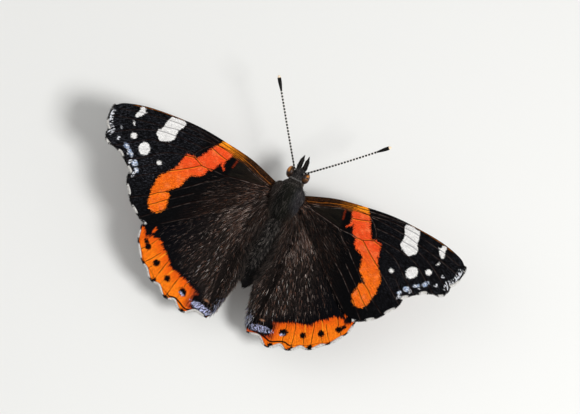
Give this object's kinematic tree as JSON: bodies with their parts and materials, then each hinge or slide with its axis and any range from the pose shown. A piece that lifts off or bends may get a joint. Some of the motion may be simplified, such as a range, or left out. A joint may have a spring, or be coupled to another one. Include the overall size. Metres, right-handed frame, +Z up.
{
  "type": "red admiral butterfly model",
  "caption": "Life-size red admiral butterfly at rest with its wings spread flat, standing on its legs.",
  "frame": {"origin": "centre of the bounding box at the floor, under the feet", "axes": "+Z up, -Y towards the head, +X towards the butterfly's left wing"},
  "size_m": [0.0666, 0.044, 0.0135],
  "materials": {
    "body_fur": "fine dark hair",
    "leg_shell": "scaled chitin",
    "eye": "glossy compound eye",
    "antenna": "scaled chitin with pale rings",
    "forewing": "matt wing scales with red band and white spots",
    "hindwing": "matt wing scales with orange margin"
  },
  "bodies": {
    "root": {"head": "body_fur", "thorax": "body_fur", "abdomen": "body_fur", "eye_left": "eye", "eye_right": "eye", "palp_left": "body_fur", "palp_right": "body_fur", "antenna_left": "antenna", "antenna_right": "antenna", "proboscis": "leg_shell", "foreleg_left": "body_fur", "foreleg_right": "body_fur", "midleg_femur_left": "leg_shell", "midleg_femur_right": "leg_shell", "midleg_tibia_left": "leg_shell", "midleg_tibia_right": "leg_shell", "midleg_tarsus_left": "leg_shell", "midleg_tarsus_right": "leg_shell", "hindleg_femur_left": "leg_shell", "hindleg_femur_right": "leg_shell", "hindleg_tibia_left": "leg_shell", "hindleg_tibia_right": "leg_shell", "hindleg_tarsus_left": "leg_shell", "hindleg_tarsus_right": "leg_shell", "forewing_left": "forewing", "forewing_right": "forewing", "hindwing_left": "hindwing", "hindwing_right": "hindwing"}
  },
  "joints": []
}
